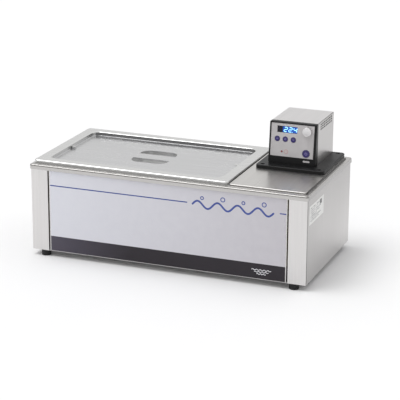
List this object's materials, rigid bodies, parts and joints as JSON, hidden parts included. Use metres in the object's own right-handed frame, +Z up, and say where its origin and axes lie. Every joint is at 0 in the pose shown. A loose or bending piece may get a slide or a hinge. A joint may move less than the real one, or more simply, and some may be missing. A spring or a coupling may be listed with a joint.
{
  "type": "sous vide circulator",
  "caption": "Long stainless sous vide bath with recessed lift-off lid, bridge plate and immersion circulator head with display, knob and buttons, on rubber feet.",
  "frame": {"origin": "on the floor, under the middle of the tank rim", "axes": "+X to the object's right end, where the circulator stands; front faces -Y; +Z up"},
  "size_m": [0.78, 0.388, 0.3795],
  "materials": {
    "casing_steel": "fine brushed stainless",
    "tank_steel": "satin stainless",
    "lid_steel": "satin stainless",
    "cover_steel": "fine brushed stainless",
    "wet_steel": "polished stainless",
    "screw_steel": "plated steel",
    "black_screw": "black oxide",
    "overlay_film": "pale lavender-grey printed film with a dark foot strip",
    "label_film": "white label film",
    "foot_rubber": "black rubber",
    "foam": "glass wool board",
    "black_plastic": "moulded, lightly textured",
    "bezel_plastic": "moulded, semi-gloss",
    "face_film": "satin silver",
    "display_lens": "dark blue display lens",
    "red_lens": "red lamp lens",
    "pale_lens": "pale lens",
    "button_plastic": "navy with paler symbol",
    "knob_metal": "satin",
    "board_green": "solder mask",
    "board_parts": "board with transformer",
    "white_plastic": "natural moulding",
    "black_metal": "black powder coat",
    "motor_metal": "grey lacquer",
    "brass_fitting": "turned"
  },
  "bodies": {
    "cabinet": {"side_panel_left": "casing_steel", "side_panel_right": "casing_steel", "front_panel": "casing_steel", "front_overlay": "overlay_film", "back_panel": "casing_steel", "back_panel_screws": "screw_steel", "base_pan": "casing_steel", "rubber_feet": "foot_rubber", "foot_screws": "screw_steel", "tank": "tank_steel", "insulation": "foam", "rating_label": "label_film"},
    "lid": {"lid_pan": "lid_steel", "lid_handle_cup": "lid_steel"},
    "circulator": {"bridge_plate": "tank_steel", "head_base_plate": "black_plastic", "base_plate_screws": "black_screw", "front_bezel": "bezel_plastic", "faceplate": "face_film", "display_window": "display_lens", "display_module": "black_plastic", "control_board": "board_green", "board_screws": "screw_steel", "tact_switches": "black_plastic", "status_led": "red_lens", "ring_indicator": "pale_lens", "encoder_body": "black_plastic", "head_cover": "cover_steel", "rear_panel": "black_metal", "rear_panel_screws": "screw_steel", "power_inlet": "black_plastic", "fuse_holder": "black_plastic", "power_supply": "board_parts", "heater_relay": "white_plastic", "motor_bracket": "screw_steel", "pump_motor": "motor_metal", "support_tube": "wet_steel", "shaft_bush": "white_plastic", "pump_housing": "wet_steel", "heater_elements": "wet_steel", "heater_glands": "brass_fitting", "temperature_probe": "wet_steel", "float_rod": "wet_steel", "float_clip": "wet_steel"},
    "encoder_switch": {"encoder_plunger": "white_plastic"},
    "knob": {"encoder_shaft": "screw_steel", "control_knob": "knob_metal"},
    "left_button": {"menu_button_left": "button_plastic"},
    "middle_button": {"menu_button_middle": "button_plastic"},
    "right_button": {"menu_button_right": "button_plastic"},
    "main_switch": {"power_button": "button_plastic"},
    "pump_rotor": {"drive_shaft": "screw_steel", "cooling_fan": "black_plastic", "impeller": "white_plastic"},
    "float": {"level_float": "white_plastic"}
  },
  "joints": [
    {"name": "lid_lift", "type": "slide", "parent": "cabinet", "child": "lid", "axis": [0, 0, 1], "range_m": [0, 0.2]},
    {"name": "circulator_lift", "type": "slide", "parent": "cabinet", "child": "circulator", "axis": [0, 0, 1], "range_m": [0, 0.2]},
    {"name": "encoder_press", "type": "slide", "parent": "circulator", "child": "encoder_switch", "axis": [0, 0.9943, -0.107], "range_m": [0, 0.0006], "stiffness_N_per_m": 2500},
    {"name": "knob_turn", "type": "hinge", "parent": "encoder_switch", "child": "knob", "pos_m": [0.313, 0.03177, 0.35882], "axis": [0, -0.9943, 0.107], "continuous": true},
    {"name": "menu_left_press", "type": "slide", "parent": "circulator", "child": "left_button", "axis": [0, 0.9943, -0.107], "range_m": [0, 0.0008], "stiffness_N_per_m": 2500},
    {"name": "menu_middle_press", "type": "slide", "parent": "circulator", "child": "middle_button", "axis": [0, 0.9943, -0.107], "range_m": [0, 0.0008], "stiffness_N_per_m": 2500},
    {"name": "menu_right_press", "type": "slide", "parent": "circulator", "child": "right_button", "axis": [0, 0.9943, -0.107], "range_m": [0, 0.0008], "stiffness_N_per_m": 2500},
    {"name": "power_press", "type": "slide", "parent": "circulator", "child": "main_switch", "axis": [0, 0.9943, -0.107], "range_m": [0, 0.0008], "stiffness_N_per_m": 2500},
    {"name": "pump_spin", "type": "hinge", "parent": "circulator", "child": "pump_rotor", "pos_m": [0.273, 0.096, 0.2], "axis": [0, 0, 1], "continuous": true},
    {"name": "float_rise", "type": "slide", "parent": "circulator", "child": "float", "axis": [0, 0, 1], "range_m": [0, 0.015]}
  ]
}
